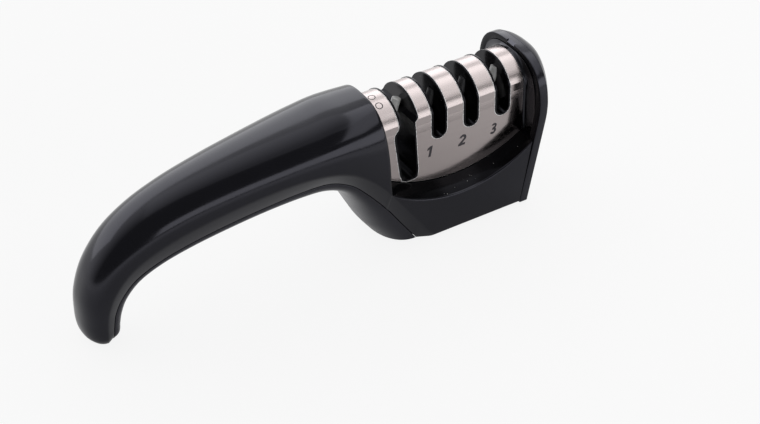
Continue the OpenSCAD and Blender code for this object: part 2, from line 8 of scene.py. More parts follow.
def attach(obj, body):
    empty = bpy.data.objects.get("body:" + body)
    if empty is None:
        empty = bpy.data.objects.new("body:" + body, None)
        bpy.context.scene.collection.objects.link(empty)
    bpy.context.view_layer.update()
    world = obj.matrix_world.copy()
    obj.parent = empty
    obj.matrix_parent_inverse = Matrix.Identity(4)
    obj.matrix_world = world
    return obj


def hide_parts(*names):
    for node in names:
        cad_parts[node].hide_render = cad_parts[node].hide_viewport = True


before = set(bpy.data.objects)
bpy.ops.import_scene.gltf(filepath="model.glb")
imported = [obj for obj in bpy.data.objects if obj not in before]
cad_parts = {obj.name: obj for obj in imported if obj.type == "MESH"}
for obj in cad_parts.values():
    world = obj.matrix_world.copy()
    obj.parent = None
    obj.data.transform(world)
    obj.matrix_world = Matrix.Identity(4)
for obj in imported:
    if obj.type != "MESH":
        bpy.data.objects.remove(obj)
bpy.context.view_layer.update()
MM = 0.001

# ---- Sizes of the sharpener, in millimetres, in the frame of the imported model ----

HANDLE_L, HANDLE_H, HANDLE_HALF = 138.0, 71.8, 23.0
WALL, SEAM_GAP, CLEAR = 2.4, 0.15, 0.2
HEAD_L, BASE_Z = 75.5, 1.5
JUNCTION_X = -HEAD_L / 2
GUARD_X = JUNCTION_X + HEAD_L
SEAM_RUN, BEVEL_RUN, BASE_BEVEL = 14.0, 21.6, 0.8
LEDGE_Z, LEDGE_R, LEDGE_FALL, EDGE_W, DECK_HALF = 23.6, 68.0, 1.8, 4.0, 12.9
FRONT_Z, FRONT_R = 19.7, 58.0
STEEL_HALF, CROWN_Z, SHOULDER_Z = 13.7, 68.2, 59.0
CROWN_R = (STEEL_HALF ** 2 + (CROWN_Z - SHOULDER_Z) ** 2) / (2 * (CROWN_Z - SHOULDER_Z))
NUMERAL_H, NUMERAL_SLANT, NUMERAL_T = 5.4, 0.2, 0.05
# The rings' radius, the width of the painted highlight round the slots, and the margin kept from
# the steel's ends and foot
RING_R, HIGHLIGHT_WIDTH, END_STRIP = 1.5, 0.34, 0.3
GUARD_HALF, GUARD_H, GUARD_BAND, GUARD_DOME = 24.2, 71.0, 3.9, 6.2
GUARD_LEAN, GUARD_KNEE, KNEE_SOFT, GUARD_LIP = 8.8, 46.5, 6.0, 4.0
RECESS_D, RECESS_Z, RECESS_GAP, GUARD_STEP = 2.7, 32.8, 0.4, 0.1
MOUTH_WIDER, MOUTH_HIGHER, MOUTH_DEEP = 1.0075, 0.15, 0.12
NOTCH_HALF, NOTCH_H, NOTCH_RUN = 2.75, 1.0, 1.3
COLLAR_X, COLLAR_Z, COLLAR_LAP, COLLAR_CURVE = 35.75, 33.0, 1.5, 0.9
PLATE_T, PAD_L, PAD_HALF, PAD_CORNER, PAD_SINK = 2.2, 34.0, 12.4, 2.2, 0.8
PAD_RIBS, PAD_RIM, RIB_GAP, RIB_CORNER, LEAST_CORNER = 9, 2.3, 0.3, 0.8, 0.6
PAD_X = (JUNCTION_X + BEVEL_RUN + 0.4, JUNCTION_X + BEVEL_RUN + 0.4 + PAD_L)
BASE_SCREWS = [(JUNCTION_X + x, s * y) for x, y in ((25.0, 15.8), (61.0, 9.0)) for s in (-1, 1)]
HANDLE_SCREWS = (JUNCTION_X - 36.0, JUNCTION_X - 84.0)
SCREW_HEAD_R, SCREW_HEAD_H, SCREW_SEAT_R, SHANK_R, SHANK_L = 2.7, 1.8, 2.9, 1.1, 6.0
BAR_HALF_W, BAR_HALF_L = 0.32, 1.45
HANDLE_SEAT_D = 4.5
# How far a cutter stands out, how far one wall laps another, and the hair that keeps faces apart
OVER, LAP, HAIR = 1.0, 0.15, 0.03
# Rounding of the shells' edges at the seam and the handle's end, and how the crease's grows
EDGE_SOFT, END_SOFT, CREASE_GROWTH, CREASE_RUN = 0.35, 0.7, 1.3, 14.0
# Shares of the arch's height over which the end's rounding fades in, at the side and upwards
FADE_SIDE, FADE_UP = 0.12, 0.6
# Width of the shells' flat rim along the seam, outside and inside
RIM_OUT, RIM_IN = 0.6, 0.2
# The leg's foot: how much it draws in, and its inner wall's start and end and rounding
FOOT_LONG, FOOT_WIDE, FOOT_WALL, FOOT_EDGE = 0.9, 0.92, (0.12, 0.7), 1.6
# Rounding of the base's edges: its foot, the front face's top, the ledge, and the bevel's growth
FOOT_SOFT, TOP_SOFT, LEDGE_SOFT, BEVEL_GROWTH, GROWTH_RUN = 0.3, 0.9, 1.6, 0.9, 12.0
LEAST_FACE = 0.02

# Top line, seam and bottom line along the handle as shares of its length and height, then the half
# widths at the crease and the seam, and the crease's share of the way up
STATION_SHARES = [
    (0, 1, 0, 0.306, 0.055, 0.202, 1, 0.817, 0.205),
    (0.065, 1.001, 0.065, 0.46, 0.098, 0.362, 0.991, 0.796, 0.25),
    (0.13, 0.999, 0.123, 0.568, 0.141, 0.467, 0.965, 0.77, 0.262),
    (0.203, 0.984, 0.196, 0.628, 0.206, 0.517, 0.925, 0.739, 0.28),
    (0.29, 0.966, 0.29, 0.635, 0.29, 0.527, 0.874, 0.713, 0.33),
    (0.406, 0.938, 0.406, 0.613, 0.406, 0.518, 0.812, 0.67, 0.36),
    (0.536, 0.9, 0.53, 0.58, 0.523, 0.49, 0.751, 0.626, 0.36),
    (0.667, 0.848, 0.652, 0.535, 0.639, 0.454, 0.692, 0.583, 0.35),
    (0.783, 0.772, 0.754, 0.477, 0.733, 0.407, 0.64, 0.539, 0.34),
    (0.879, 0.66, 0.832, 0.4, 0.804, 0.34, 0.59, 0.494, 0.33),
    (0.952, 0.5, 0.88, 0.296, 0.848, 0.25, 0.545, 0.45, 0.32),
    (0.991, 0.32, 0.905, 0.195, 0.868, 0.16, 0.515, 0.42, 0.31),
    (1, 0.16, 0.914, 0.1, 0.878, 0.084, 0.493, 0.4, 0.3),
    (0.996, 0.052, 0.917, 0.036, 0.882, 0.032, 0.472, 0.385, 0.3),
    (0.978, 0, 0.92, 0, 0.896, 0, 0.4, 0.32, 0.3)]
# The sections that fan out under the head, as shares of the seam's run and height there
FAN_SHARES = [(0.45, 0.55, -0.3, 0.32, 0.829), (1, 0, 0.03, 0, 0.843)]
# The guard's dome: how far out, and how wide and tall its section is there
DOME_SHARES = [(0, 1, 1), (0.15, 0.945, 0.998), (0.36, 0.865, 0.992), (0.55, 0.78, 0.982),
               (0.72, 0.68, 0.97), (0.85, 0.56, 0.955), (0.94, 0.42, 0.938), (0.972, 0.26, 0.922),
               (0.984, 0.1, 0.91)]
# The guard's band and its groove: how far out each section lies and how far it is drawn in
BAND_RINGS = [(0.0, 0.45), (0.06, 0.22), (0.2, 0.06), (0.45, 0.0), (GUARD_BAND / 2, 0.0),
              (GUARD_BAND - 0.5, 0.0), (GUARD_BAND - 0.2, 0.0), (GUARD_BAND - 0.06, 0.16),
              (GUARD_BAND + 0.06, 0.16)]
# The guard's shoulder and the recess's knee, as shares of the height
GUARD_SHOULDER, RECESS_KNEE = 0.638, 0.4
JUNCTION_POWER, HANDLE_POWER, BELLY_POWER, GUARD_POWER = 2.8, 2.3, 2.2, 2.8
STEPS, ARCH_PARTS, SIDE_PARTS, TOP_PARTS, BEVEL_PARTS, WALL_PARTS = 8, 22, 10, 28, 6, 48
COLLAR_PARTS, RING_PARTS = 12, 32
SMOOTH_ANGLE = 38.0
CORNERS = ((-1, -1), (1, -1), (1, 1), (-1, 1))


# ---- Curves ----

def mix(a, b, f):
    return [x + f * (y - x) for x, y in zip(a, b)]


def smooth_rows(rows, steps):
    """A smooth curve through rows of numbers, steps rows for each span."""
    made = []
    for i in range(len(rows) - 1):
        before, a, b = rows[max(i - 1, 0)], rows[i], rows[i + 1]
        after = rows[min(i + 2, len(rows) - 1)]
        for k in range(steps):
            t = k / steps
            made.append([(2 * p + (q - o) * t + (2 * o - 5 * p + 4 * q - r) * t ** 2
                          + (3 * p - o - 3 * q + r) * t ** 3) / 2
                         for o, p, q, r in zip(before, a, b, after)])
    return made + [list(rows[-1])]


def rounded_corner(points, index, reach, parts=4):
    """The polyline with its corner at index rounded, from reach before it to reach after it."""
    a, b, c = points[index - 1], points[index], points[index + 1]
    def towards(p, q):
        gap = math.dist(p, q)
        return mix(p, q, min(reach, gap * 0.45) / gap) if gap > 1e-6 else list(p)
    start, end = towards(b, a), towards(b, c)
    shares = [k / parts for k in range(parts + 1)]
    turn = [mix(mix(start, b, f), mix(b, end, f), f) for f in shares]
    return points[:index] + turn + points[index + 1:]


def power_curve(wide, tall, power, parts, start=0.0):
    """A quarter of a rounded square, from its widest point at the start's height to its top."""
    angles = [math.pi / 2 * k / parts for k in range(parts + 1)]
    return [[wide * abs(math.cos(a)) ** (2 / power) if k < parts else 0.0,
             start + (tall - start) * math.sin(a) ** (2 / power)] for k, a in enumerate(angles)]


def rounded_outline(x0, x1, half, radius, parts=8):
    """A rectangle with round corners."""
    points = []
    left, right, front, back = x0 + radius, x1 - radius, radius - half, half - radius
    centres = (right, back), (left, back), (left, front), (right, front)
    for quarter, (cx, cy) in enumerate(centres):
        for k in range(parts + 1):
            a = math.radians(90 * quarter + 90 * k / parts)
            points.append((cx + radius * math.cos(a), cy + radius * math.sin(a)))
    return points


def mirrored(half):
    """Both sides of an outline whose last point lies on the middle line."""
    return [[-p[0], p[1]] for p in half] + [list(p) for p in reversed(half[:-1])]


def dip(x, radius):
    """How far a circle has risen from its lowest point."""
    return radius - math.sqrt(radius ** 2 - x ** 2)


def ledge_at(x):
    return LEDGE_Z + dip(x - HEAD_L / 2, LEDGE_R)


def ledge_edge_at(x):
    return ledge_at(x) - LEDGE_FALL


def front_at(x):
    return FRONT_Z + dip(x - HEAD_L / 2 + LEDGE_FALL, FRONT_R)


def crease_at(x):
    """The crease's height along the base, which falls with the bevel."""
    return max(BASE_Z + BASE_BEVEL, front_at(0) + (BASE_Z - front_at(0)) * x / BEVEL_RUN)


def guard_in(z):
    """The guard's inner face, which leans in below its knee, with the knee itself softened."""
    slope = GUARD_LEAN / (GUARD_KNEE - BASE_Z)
    below = GUARD_KNEE - z
    if below <= -KNEE_SOFT:
        return GUARD_X
    if below < KNEE_SOFT:
        return GUARD_X - slope * (below + KNEE_SOFT) ** 2 / (4 * KNEE_SOFT)
    return GUARD_X - slope * below


# ---- Meshes ----

def new_object(name, data):
    """A mesh, light or camera put into the scene."""
    made = bpy.data.objects.new(name, data)
    bpy.context.scene.collection.objects.link(made)
    return made


def mesh_piece(name, build, smooth_angle=SMOOTH_ANGLE):
    """A piece in metres from a function that fills a bmesh in millimetres; edges sharper than the
    angle stay sharp."""
    bm = bmesh.new()
    build(bm)
    bmesh.ops.remove_doubles(bm, verts=bm.verts, dist=1e-5)
    bmesh.ops.recalc_face_normals(bm, faces=bm.faces)
    bmesh.ops.scale(bm, vec=(MM, MM, MM), verts=bm.verts)
    mesh = bpy.data.meshes.new(name)
    bm.to_mesh(mesh)
    bm.free()
    finish_shading(mesh, smooth_angle)
    return new_object(name, mesh)


def finish_shading(mesh, smooth_angle):
    mesh.polygons.foreach_set("use_smooth", [True] * len(mesh.polygons))
    mesh.set_sharp_from_angle(angle=math.radians(smooth_angle))


def add_loft(bm, loops, caps=True):
    """Joins loops of points with quads and, where wanted, closes the two ends."""
    rings = [[bm.verts.new(p) for p in loop] for loop in loops]
    count = len(rings[0])
    for a, b in zip(rings, rings[1:]):
        for j in range(count):
            k = (j + 1) % count
            quad = [a[j], a[k], b[k], b[j]]
            if len({tuple(round(c, 5) for c in v.co) for v in quad}) > 2:
                bm.faces.new(quad)
    if caps:
        bm.faces.new(rings[0])
        bm.faces.new(rings[-1])
    return rings


def add_prism(bm, outline, low, high):
    """An outline of x, y points raised from one height to another."""
    add_loft(bm, [[(x, y, z) for x, y in outline] for z in (low, high)])


def add_lathe(bm, profile, x, y, parts=40):
    """Turns a profile of (radius, height) points about an upright axis."""
    angles = [2 * math.pi * k / parts for k in range(parts)]
    add_loft(bm, [[(x + r * math.cos(a), y + r * math.sin(a), h) for a in angles]
                  for r, h in profile])


def cut(piece, cutters, smooth_angle=SMOOTH_ANGLE):
    """Cuts other pieces out of a piece and removes them."""
    for cutter in cutters:
        modifier = piece.modifiers.new("cut", "BOOLEAN")
        modifier.operation = "DIFFERENCE"
        modifier.solver = "EXACT"
        modifier.object = cutter
    bpy.context.view_layer.update()
    depsgraph = bpy.context.evaluated_depsgraph_get()
    mesh = bpy.data.meshes.new_from_object(piece.evaluated_get(depsgraph))
    piece.modifiers.clear()
    piece.data = mesh
    finish_shading(mesh, smooth_angle)
    for cutter in cutters:
        bpy.data.objects.remove(cutter)
    return piece


def soften_edges(piece, width):
    """Rounds every sharp edge."""
    bevel = piece.modifiers.new("soft_edges", "BEVEL")
    bevel.width = width * MM
    bevel.segments = 2
    bevel.limit_method = "ANGLE"
    bevel.angle_limit = math.radians(40.0)
    bevel.harden_normals = True
    return piece


# ---- The two moulded shells of the handle ----

def station_rows():
    """The stations in millimetres: top, seam and bottom as x, z pairs, the half widths at the
    crease and the seam, the crease's share of the way up, and how square the arch is."""
    seam_h = STATION_SHARES[0][3] * HANDLE_H - BASE_Z
    rows = []
    for s in STATION_SHARES:
        power = JUNCTION_POWER + (HANDLE_POWER - JUNCTION_POWER) * min(1, 3 * s[0])
        line = [c for i in (0, 2, 4) for c in (JUNCTION_X - s[i] * HANDLE_L, s[i + 1] * HANDLE_H)]
        rows.append(line + [s[6] * HANDLE_HALF, s[7] * HANDLE_HALF, s[8], power])
    fan = [[JUNCTION_X, HANDLE_H, JUNCTION_X + s[0] * SEAM_RUN, BASE_Z + s[1] * seam_h,
            JUNCTION_X + s[2] * SEAM_RUN, BASE_Z + s[3] * seam_h, HANDLE_HALF, s[4] * HANDLE_HALF,
            STATION_SHARES[0][8], JUNCTION_POWER] for s in FAN_SHARES]
    return fan[::-1] + rows


BELLY_ROWS = smooth_rows(station_rows(), STEPS)
JUNCTION_ROW = len(FAN_SHARES) * STEPS
HANDLE_ROWS = BELLY_ROWS[JUNCTION_ROW:]


def lay(points, low, high):
    """Points of (side, share) laid between two (x, z) points."""
    return [(low[0] + p[1] * (high[0] - low[0]), p[0], low[1] + p[1] * (high[1] - low[1]))
            for p in points]


def arch_half(row, inset, rim, crease_soft):
    """Half of the handle's section as (side, share of height): the rim, crease and arch."""
    tall = math.dist(row[0:2], row[2:4])
    wide, seam_w, crease = row[6] - inset, row[7] - inset, row[8] * tall
    arch = power_curve(wide, tall, row[9], ARCH_PARTS, crease)
    half = rounded_corner([[seam_w - rim, 0.0], [seam_w, 0.0]] + arch, 2, crease_soft)
    half = rounded_corner(half, 1, EDGE_SOFT, 3)
    return [[p[0], p[1] / tall] for p in half]


def handle_inside(row, wall, soft=FOOT_EDGE):
    """The outline of the upper shell's hollow."""
    seam, top = row[2:4], row[0:2]
    share = 1 - wall / math.dist(seam, top)
    half = [[p[0], p[1] * share] for p in arch_half(row, wall, RIM_IN, soft)]
    return lay(mirrored(half), seam, top)


def handle_loop(row, along_handle, end_inset=0.0):
    """The upper shell's section; the inset rounds the arch's end and fades out at the crease."""
    seam, top, crease = row[2:4], row[0:2], row[8]
    tall = math.dist(seam, top)
    soft = EDGE_SOFT + CREASE_GROWTH * min(1.0, along_handle / CREASE_RUN)
    outer = []
    for side, up in arch_half(row, 0.0, RIM_OUT, soft):
        above = max(0.0, up - crease)
        outer.append([side - end_inset * min(1.0, above / FADE_SIDE) * (side / row[6]) ** 1.5,
                      up - end_inset / tall * min(1.0, above / FADE_UP)])
    return lay(mirrored(outer), seam, top) + handle_inside(row, WALL, soft)[::-1]


def moved(row, dx):
    return [row[0] + dx, row[1], row[2] + dx, row[3], row[4] + dx] + row[5:]


def add_foot_wall(bm, inside, rows):
    """Closes a shell's hollow just above the foot of the leg."""
    end, before = rows[-1], rows[-2]
    add_loft(bm, [inside(mix(end, before, f), WALL - LAP) for f in FOOT_WALL])


def build_handle(bm):
    """The upper shell from its rounded end edge at the head to the foot of the leg."""
    start, end = HANDLE_ROWS[0], HANDLE_ROWS[-1]
    loops = []
    for a in (math.pi / 2, math.pi / 3, math.pi / 6):
        row = moved(start, END_SOFT * (math.sin(a) - 1))
        loops.append(handle_loop(row, 0.0, END_SOFT * (1 - math.cos(a))))
    walked = 0.0
    for before, row in zip(HANDLE_ROWS, HANDLE_ROWS[1:]):
        walked += math.dist(row[0:2], before[0:2])
        loops.append(handle_loop(row, walked))
    middle = (end[0] + end[2]) / 2
    loops[-1] = [(middle + (x - middle) * FOOT_LONG, y * FOOT_WIDE, z) for x, y, z in loops[-1]]
    add_loft(bm, loops)
    add_foot_wall(bm, handle_inside, HANDLE_ROWS)


def build_bulkhead(bm):
    """The wall that closes the handle's end above the deck."""
    row = HANDLE_ROWS[0]
    low, high = (row[0], HANDLE_ROWS[STEPS // 3][3] + CLEAR), (row[0], row[1] - WALL / 2)
    face = lay(mirrored(arch_half(row, WALL / 2, RIM_IN, EDGE_SOFT)), low, high)
    add_loft(bm, [[(JUNCTION_X - back, y, z) for _, y, z in face] for back in (WALL, HAIR)])


def belly_line(row, wall=0.0):
    """The ends of the lower shell's middle line: under the seam, and at the bottom less a wall."""
    depth = math.dist(row[2:4], row[4:6])
    down = [(b - a) / depth for a, b in zip(row[2:4], row[4:6])]
    return ([row[2] + SEAM_GAP * down[0], row[3] + SEAM_GAP * down[1]],
            [row[4] - wall * down[0], row[5] - wall * down[1]])


def belly_inside(row, wall):
    """The outline of the lower shell's hollow."""
    wide = row[7] - wall
    half = [[wide - RIM_IN, 0.0]] + power_curve(wide, 1.0, BELLY_POWER, ARCH_PARTS)
    return lay(mirrored(half), *belly_line(row, wall))


def belly_loop(row):
    """The lower shell's section."""
    low, bottom = belly_line(row)
    deep = math.dist(low, bottom)
    curve = power_curve(row[7], deep, BELLY_POWER, ARCH_PARTS)
    half = rounded_corner([[row[7] - RIM_OUT, 0.0]] + curve, 1, EDGE_SOFT, 3)
    outer = [[p[0], p[1] / deep] for p in half]
    return lay(mirrored(outer), low, bottom) + belly_inside(row, WALL)[::-1]


def build_belly(bm):
    """The lower shell from the head's seam to the foot of the leg."""
    add_loft(bm, [belly_loop(row) for row in BELLY_ROWS])
    add_foot_wall(bm, belly_inside, BELLY_ROWS)


# ---- The base's front and rear walls with the ledge beside the steel ----

def meets_guard(height_at):
    """How far along the head a line of the given height reaches the guard."""
    x = HEAD_L - GUARD_LEAN / 2
    for _ in range(20):
        x = guard_in(height_at(x)) - SEAM_GAP - JUNCTION_X
    return x


def seam_half_at(x):
    """The half width of the base's lower edge, which widens along the bevel."""
    low = FAN_SHARES[-1][4] * HANDLE_HALF
    wide = low + (HANDLE_HALF - low) * (x - SEAM_RUN) / (BEVEL_RUN - SEAM_RUN)
    return min(HANDLE_HALF - BASE_BEVEL, wide)


def wall_loop(xs, seam_half, seam_h, side):
    """The wall's section. xs gives the place along the head of the deck, the ledge's edge, the
    front face's top, the crease and the seam, which part company towards the leaning guard."""
    deck_x, edge_x, top_x, crease_x, seam_x = xs
    deck, edge, top = ledge_at(deck_x), ledge_edge_at(edge_x), front_at(top_x)
    crease = min(crease_at(crease_x), top - LEAST_FACE)
    half, edge_half, inner = HANDLE_HALF, HANDLE_HALF - EDGE_W, HANDLE_HALF - WALL
    line = [[DECK_HALF, deck, deck_x], [edge_half, edge, edge_x], [half, top, top_x],
            [half, crease, crease_x], [seam_half, seam_h, seam_x],
            [seam_half - WALL, seam_h, seam_x]]
    crease_soft = EDGE_SOFT + BEVEL_GROWTH * min(1.0, crease_x / GROWTH_RUN)
    for index, soft, parts in ((4, FOOT_SOFT, 3), (3, crease_soft, 4), (2, TOP_SOFT, 5),
                               (1, LEDGE_SOFT, 5)):
        line = rounded_corner(line, index, soft, parts)
    line += [[inner, min(crease + WALL / 2, top - WALL - BASE_BEVEL), crease_x],
             [inner, top - WALL, top_x],
             [edge_half - WALL / 2, edge - WALL, edge_x], [DECK_HALF, deck - WALL, deck_x]]
    return [(JUNCTION_X + x, side * y, z) for y, z, x in line]


def build_base_walls(bm):
    """The walls from the fan under the head, along the bevel, to the leaning guard."""
    heights = (ledge_at, ledge_edge_at, front_at, crease_at, lambda x: BASE_Z)
    spans = ((SEAM_RUN, [BEVEL_RUN] * 5, BEVEL_PARTS),
             (BEVEL_RUN, [meets_guard(height_at) for height_at in heights], WALL_PARTS))
    for side in (-1, 1):
        loops = [wall_loop([row[2] - JUNCTION_X] * 5, row[7], max(row[3], BASE_Z), side)
                 for row in BELLY_ROWS[JUNCTION_ROW::-1]]
        for start, ends, parts in spans:
            for k in range(1, parts + 1):
                xs = [start + (end - start) * k / parts for end in ends]
                loops.append(wall_loop(xs, seam_half_at(xs[4]), BASE_Z, side))
        add_loft(bm, loops)


def build_upper_housing(bm):
    build_handle(bm)
    build_bulkhead(bm)
    build_base_walls(bm)


# ---- The flat bottom of the base ----

def build_base_plate(bm):
    """The plate, a hair above the shell's lower edge so that their faces don't coincide."""
    row = BELLY_ROWS[0]
    inside = power_curve(row[7] - WALL / 2, 1.0, BELLY_POWER, ARCH_PARTS)
    x0, x1 = row[2] - PLATE_T, guard_in(BASE_Z) - CLEAR
    belly = [(x0 + up * (row[4] + WALL / 2 - x0), side) for side, up in mirrored(inside)]
    y0, y1 = row[7] - WALL - CLEAR, HANDLE_HALF - BASE_BEVEL - WALL - CLEAR
    front = [(x0, -y0), (row[2], -y0), (JUNCTION_X + BEVEL_RUN, -y1), (x1, -y1)]
    outline = belly[::-1] + front + [(x, -y) for x, y in front[::-1]]
    add_prism(bm, outline, BASE_Z + HAIR, BASE_Z + PLATE_T)


def screw_seat(x, y, low, high):
    """A cutter for a screw's counterbore."""
    profile = [(SCREW_SEAT_R, low), (SCREW_SEAT_R, high)]
    return mesh_piece("seat", lambda bm: add_lathe(bm, profile, x, y))


def underside_at(x):
    """The height of the handle's underside."""
    for a, b in zip(HANDLE_ROWS, HANDLE_ROWS[1:]):
        if a[4] >= x > b[4]:
            return mix(a, b, (x - a[4]) / (b[4] - a[4]))[5]


def make_underside_cover():
    """The lower shell and the base's plate, with the pad's room and the screws' seats cut out."""
    plate = mesh_piece("base_plate", build_base_plate)
    x0, x1 = PAD_X
    outline = rounded_outline(x0 - CLEAR, x1 + CLEAR, PAD_HALF + CLEAR, PAD_CORNER + CLEAR)
    seats = [screw_seat(x, y, BASE_Z - OVER, BASE_Z + PLATE_T + 2 * OVER) for x, y in BASE_SCREWS]
    room = mesh_piece("room", lambda bm: add_prism(bm, outline, BASE_Z - OVER, BASE_Z + PAD_SINK))
    cut(plate, seats + [room])
    belly = mesh_piece("belly_shell", build_belly, 50.0)
    cut(belly, [screw_seat(x, 0, underside_at(x) - 3 * OVER, underside_at(x) + HANDLE_SEAT_D)
                for x in HANDLE_SCREWS], 50.0)
    return belly, plate


# ---- The end guard and the collar ----

def guard_half():
    """Half of the guard's outline, as shares, from its foot, which is as wide as the base."""
    foot = (HANDLE_HALF + GUARD_STEP) / GUARD_HALF
    side_line = [[foot, 0.0], [(1 + foot) / 2, 0.3], [1.0, GUARD_SHOULDER]]
    sides = smooth_rows(side_line, SIDE_PARTS // 2)
    return sides + power_curve(1.0, 1.0, GUARD_POWER, TOP_PARTS, GUARD_SHOULDER)[1:]


def guard_ring(off, wide=1.0, tall=1.0, inset=0.0):
    """The outline moved off along the head, made narrower and lower, and drawn in by an inset."""
    half = [[side * wide * GUARD_HALF - inset * side,
             BASE_Z + (GUARD_H - BASE_Z) * up * tall - inset * up] for side, up in guard_half()]
    return [(guard_in(z) + off, y, z) for y, z in mirrored(half)]


def recess_half(inset, low):
    """Half of the outline of the recess that takes the collar."""
    wide, top = GUARD_HALF - GUARD_LIP - inset, CROWN_Z + RECESS_GAP - inset
    knee = RECESS_Z + RECESS_KNEE * (top - RECESS_Z)
    sides = smooth_rows([[wide, low], [wide, knee]], SIDE_PARTS)
    return sides + power_curve(wide, top, GUARD_POWER, TOP_PARTS, knee)[1:]


def steel_half_outline(inset, low):
    """Half of the steel's outline, with as many points as the recess has."""
    r, wide = CROWN_R - inset, STEEL_HALF - inset
    start, middle = math.asin(wide / r), CROWN_Z - CROWN_R
    sides = smooth_rows([[wide, low], [wide, middle + r * math.cos(start)]], SIDE_PARTS)
    angles = [start * (1 - k / TOP_PARTS) for k in range(1, TOP_PARTS + 1)]
    return sides + [[r * math.sin(a), middle + r * math.cos(a)] for a in angles]


def build_guard(bm):
    """The edge band with its groove, the dome outside it, and the recess in the inner face."""
    rings = [guard_ring(off, inset=inset) for off, inset in BAND_RINGS]
    for rise, wide, tall in smooth_rows(DOME_SHARES, 4)[1:]:
        rings.append(guard_ring(GUARD_BAND + rise * GUARD_DOME, wide, tall))
    shells = add_loft(bm, rings, caps=False)
    outer, end = shells[0], shells[-1]
    for j in range(len(end) // 2):
        rung = [end[j], end[j + 1], end[-2 - j], end[-1 - j]]
        bm.faces.new(rung if rung[1] != rung[2] else [rung[0], rung[1], rung[3]])
    opening = mirrored(recess_half(0.0, RECESS_Z))
    mouth = [bm.verts.new((guard_in(z), y * MOUTH_WIDER, z + MOUTH_HIGHER * (z > RECESS_Z + 1)))
             for y, z in opening]
    edge = [bm.verts.new((guard_in(z) + MOUTH_DEEP, y, z)) for y, z in opening]
    floor = [bm.verts.new((GUARD_X + RECESS_D, y, z)) for y, z in opening]
    spare = (len(outer) - len(mouth)) // 2
    inner = outer[spare:len(outer) - spare]
    for near, far in ((inner, mouth), (mouth, edge), (edge, floor)):
        for j in range(len(mouth) - 1):
            bm.faces.new([near[j], near[j + 1], far[j + 1], far[j]])
    for near, far in ((mouth, edge), (edge, floor)):
        bm.faces.new([near[-1], near[0], far[0], far[-1]])
    bm.faces.new(outer[:spare + 1] + [mouth[0], mouth[-1]] + outer[len(outer) - spare - 1:])
    bm.faces.new(floor[::-1])


def build_notch(bm):
    """The wedge that leaves a slanted notch in the guard's top edge."""
    low, top = GUARD_H - NOTCH_H, GUARD_H + OVER
    section = [(-OVER, low - OVER), (0, low), (NOTCH_RUN, GUARD_H), (NOTCH_RUN + OVER, top),
               (-OVER, top)]
    add_loft(bm, [[(GUARD_X + x, y, z) for x, z in section] for y in (-NOTCH_HALF, NOTCH_HALF)])


def build_collar(bm):
    """A trumpet that flares from the steel's outline to the recess."""
    x1 = GUARD_X - CLEAR
    small = mirrored(steel_half_outline(CLEAR / 2, COLLAR_Z))
    large = mirrored(recess_half(CLEAR, COLLAR_Z))
    loops = []
    for k in range(COLLAR_PARTS + 1):
        a = math.pi / 2 * k / COLLAR_PARTS
        x = COLLAR_X + (x1 - COLLAR_X) * math.sin(a) ** COLLAR_CURVE
        loops.append([(x, *mix(p, q, 1 - math.cos(a))) for p, q in zip(small, large)])
    loops.append([(x1 + COLLAR_LAP, y, z) for y, z in large])
    add_loft(bm, loops)


# ---- Screws and the pad in the base ----

def add_screw(bm, x, y, seat):
    """A pan head on its shank, the top facing down from the seat."""
    low, r = seat - SCREW_HEAD_H, SCREW_HEAD_R
    top = [(0.92 * r * math.sin(a), low + 0.55 * (1 - math.cos(a))) for a in (0.3, 0.6, 0.9, 1.2)]
    side = [(0.985 * r, low + 0.62), (r, low + 0.85), (r, seat - 0.1), (r - 0.1, seat)]
    shank = [(SHANK_R, seat), (SHANK_R, seat + SHANK_L)]
    add_lathe(bm, [(0.01, low)] + top + side + shank, x, y)


def make_screws(name, places):
    """Heads with crossed recesses at (x, y, seat) places."""
    def bars(bm, wide, long):
        for x, y, seat in places:
            low = seat - SCREW_HEAD_H - 0.5
            corners = [(sx * wide, sy * long) for sx, sy in CORNERS]
            add_loft(bm, [[(x + dx * f, y + dy * f, z) for dx, dy in corners]
                          for f, z in ((1.0, low), (1.0, low + 0.6), (0.35, low + 1.7))])
    heads = mesh_piece(name, lambda bm: [add_screw(bm, *p) for p in places])
    return cut(heads, [mesh_piece("recess", lambda bm: bars(bm, wide, long))
                       for wide, long in ((BAR_HALF_W, BAR_HALF_L), (BAR_HALF_L, BAR_HALF_W))])


def build_pad(bm):
    """A rubber pad with round corners, a soft lower edge and ribs across its recess."""
    def block(x0, x1, half, corner, profile):
        add_loft(bm, [[(x, y, z) for x, y in rounded_outline(
            x0 + inset, x1 - inset, half - inset, max(LEAST_CORNER, corner - inset))]
            for inset, z in profile])
    x0, x1 = PAD_X
    block(x0, x1, PAD_HALF, PAD_CORNER,
          [(0.0, BASE_Z + PAD_SINK), (0.0, 0.5), (0.15, 0.15), (0.5, 0.0), (1.6, 0.0), (1.75, 0.15),
           (1.9, 0.55)])
    step = (x1 - x0 - 2 * PAD_RIM) / PAD_RIBS
    for k in range(PAD_RIBS):
        a = x0 + PAD_RIM + step * k
        block(a + RIB_GAP, a + step - RIB_GAP, PAD_HALF - PAD_RIM - RIB_GAP, RIB_CORNER,
              [(0.0, 0.65), (0.0, 0.15), (0.15, 0.0)])


# ---- Numerals on the steel, and rings and edge strips of painted shade and highlight ----

def arc(centre, radius, start, end, parts=12):
    """Points on a circle from one angle to another, in degrees."""
    turn = [math.radians(start + (end - start) * k / parts) for k in range(parts + 1)]
    return [(centre[0] + radius * math.cos(a), centre[1] + radius * math.sin(a)) for a in turn]


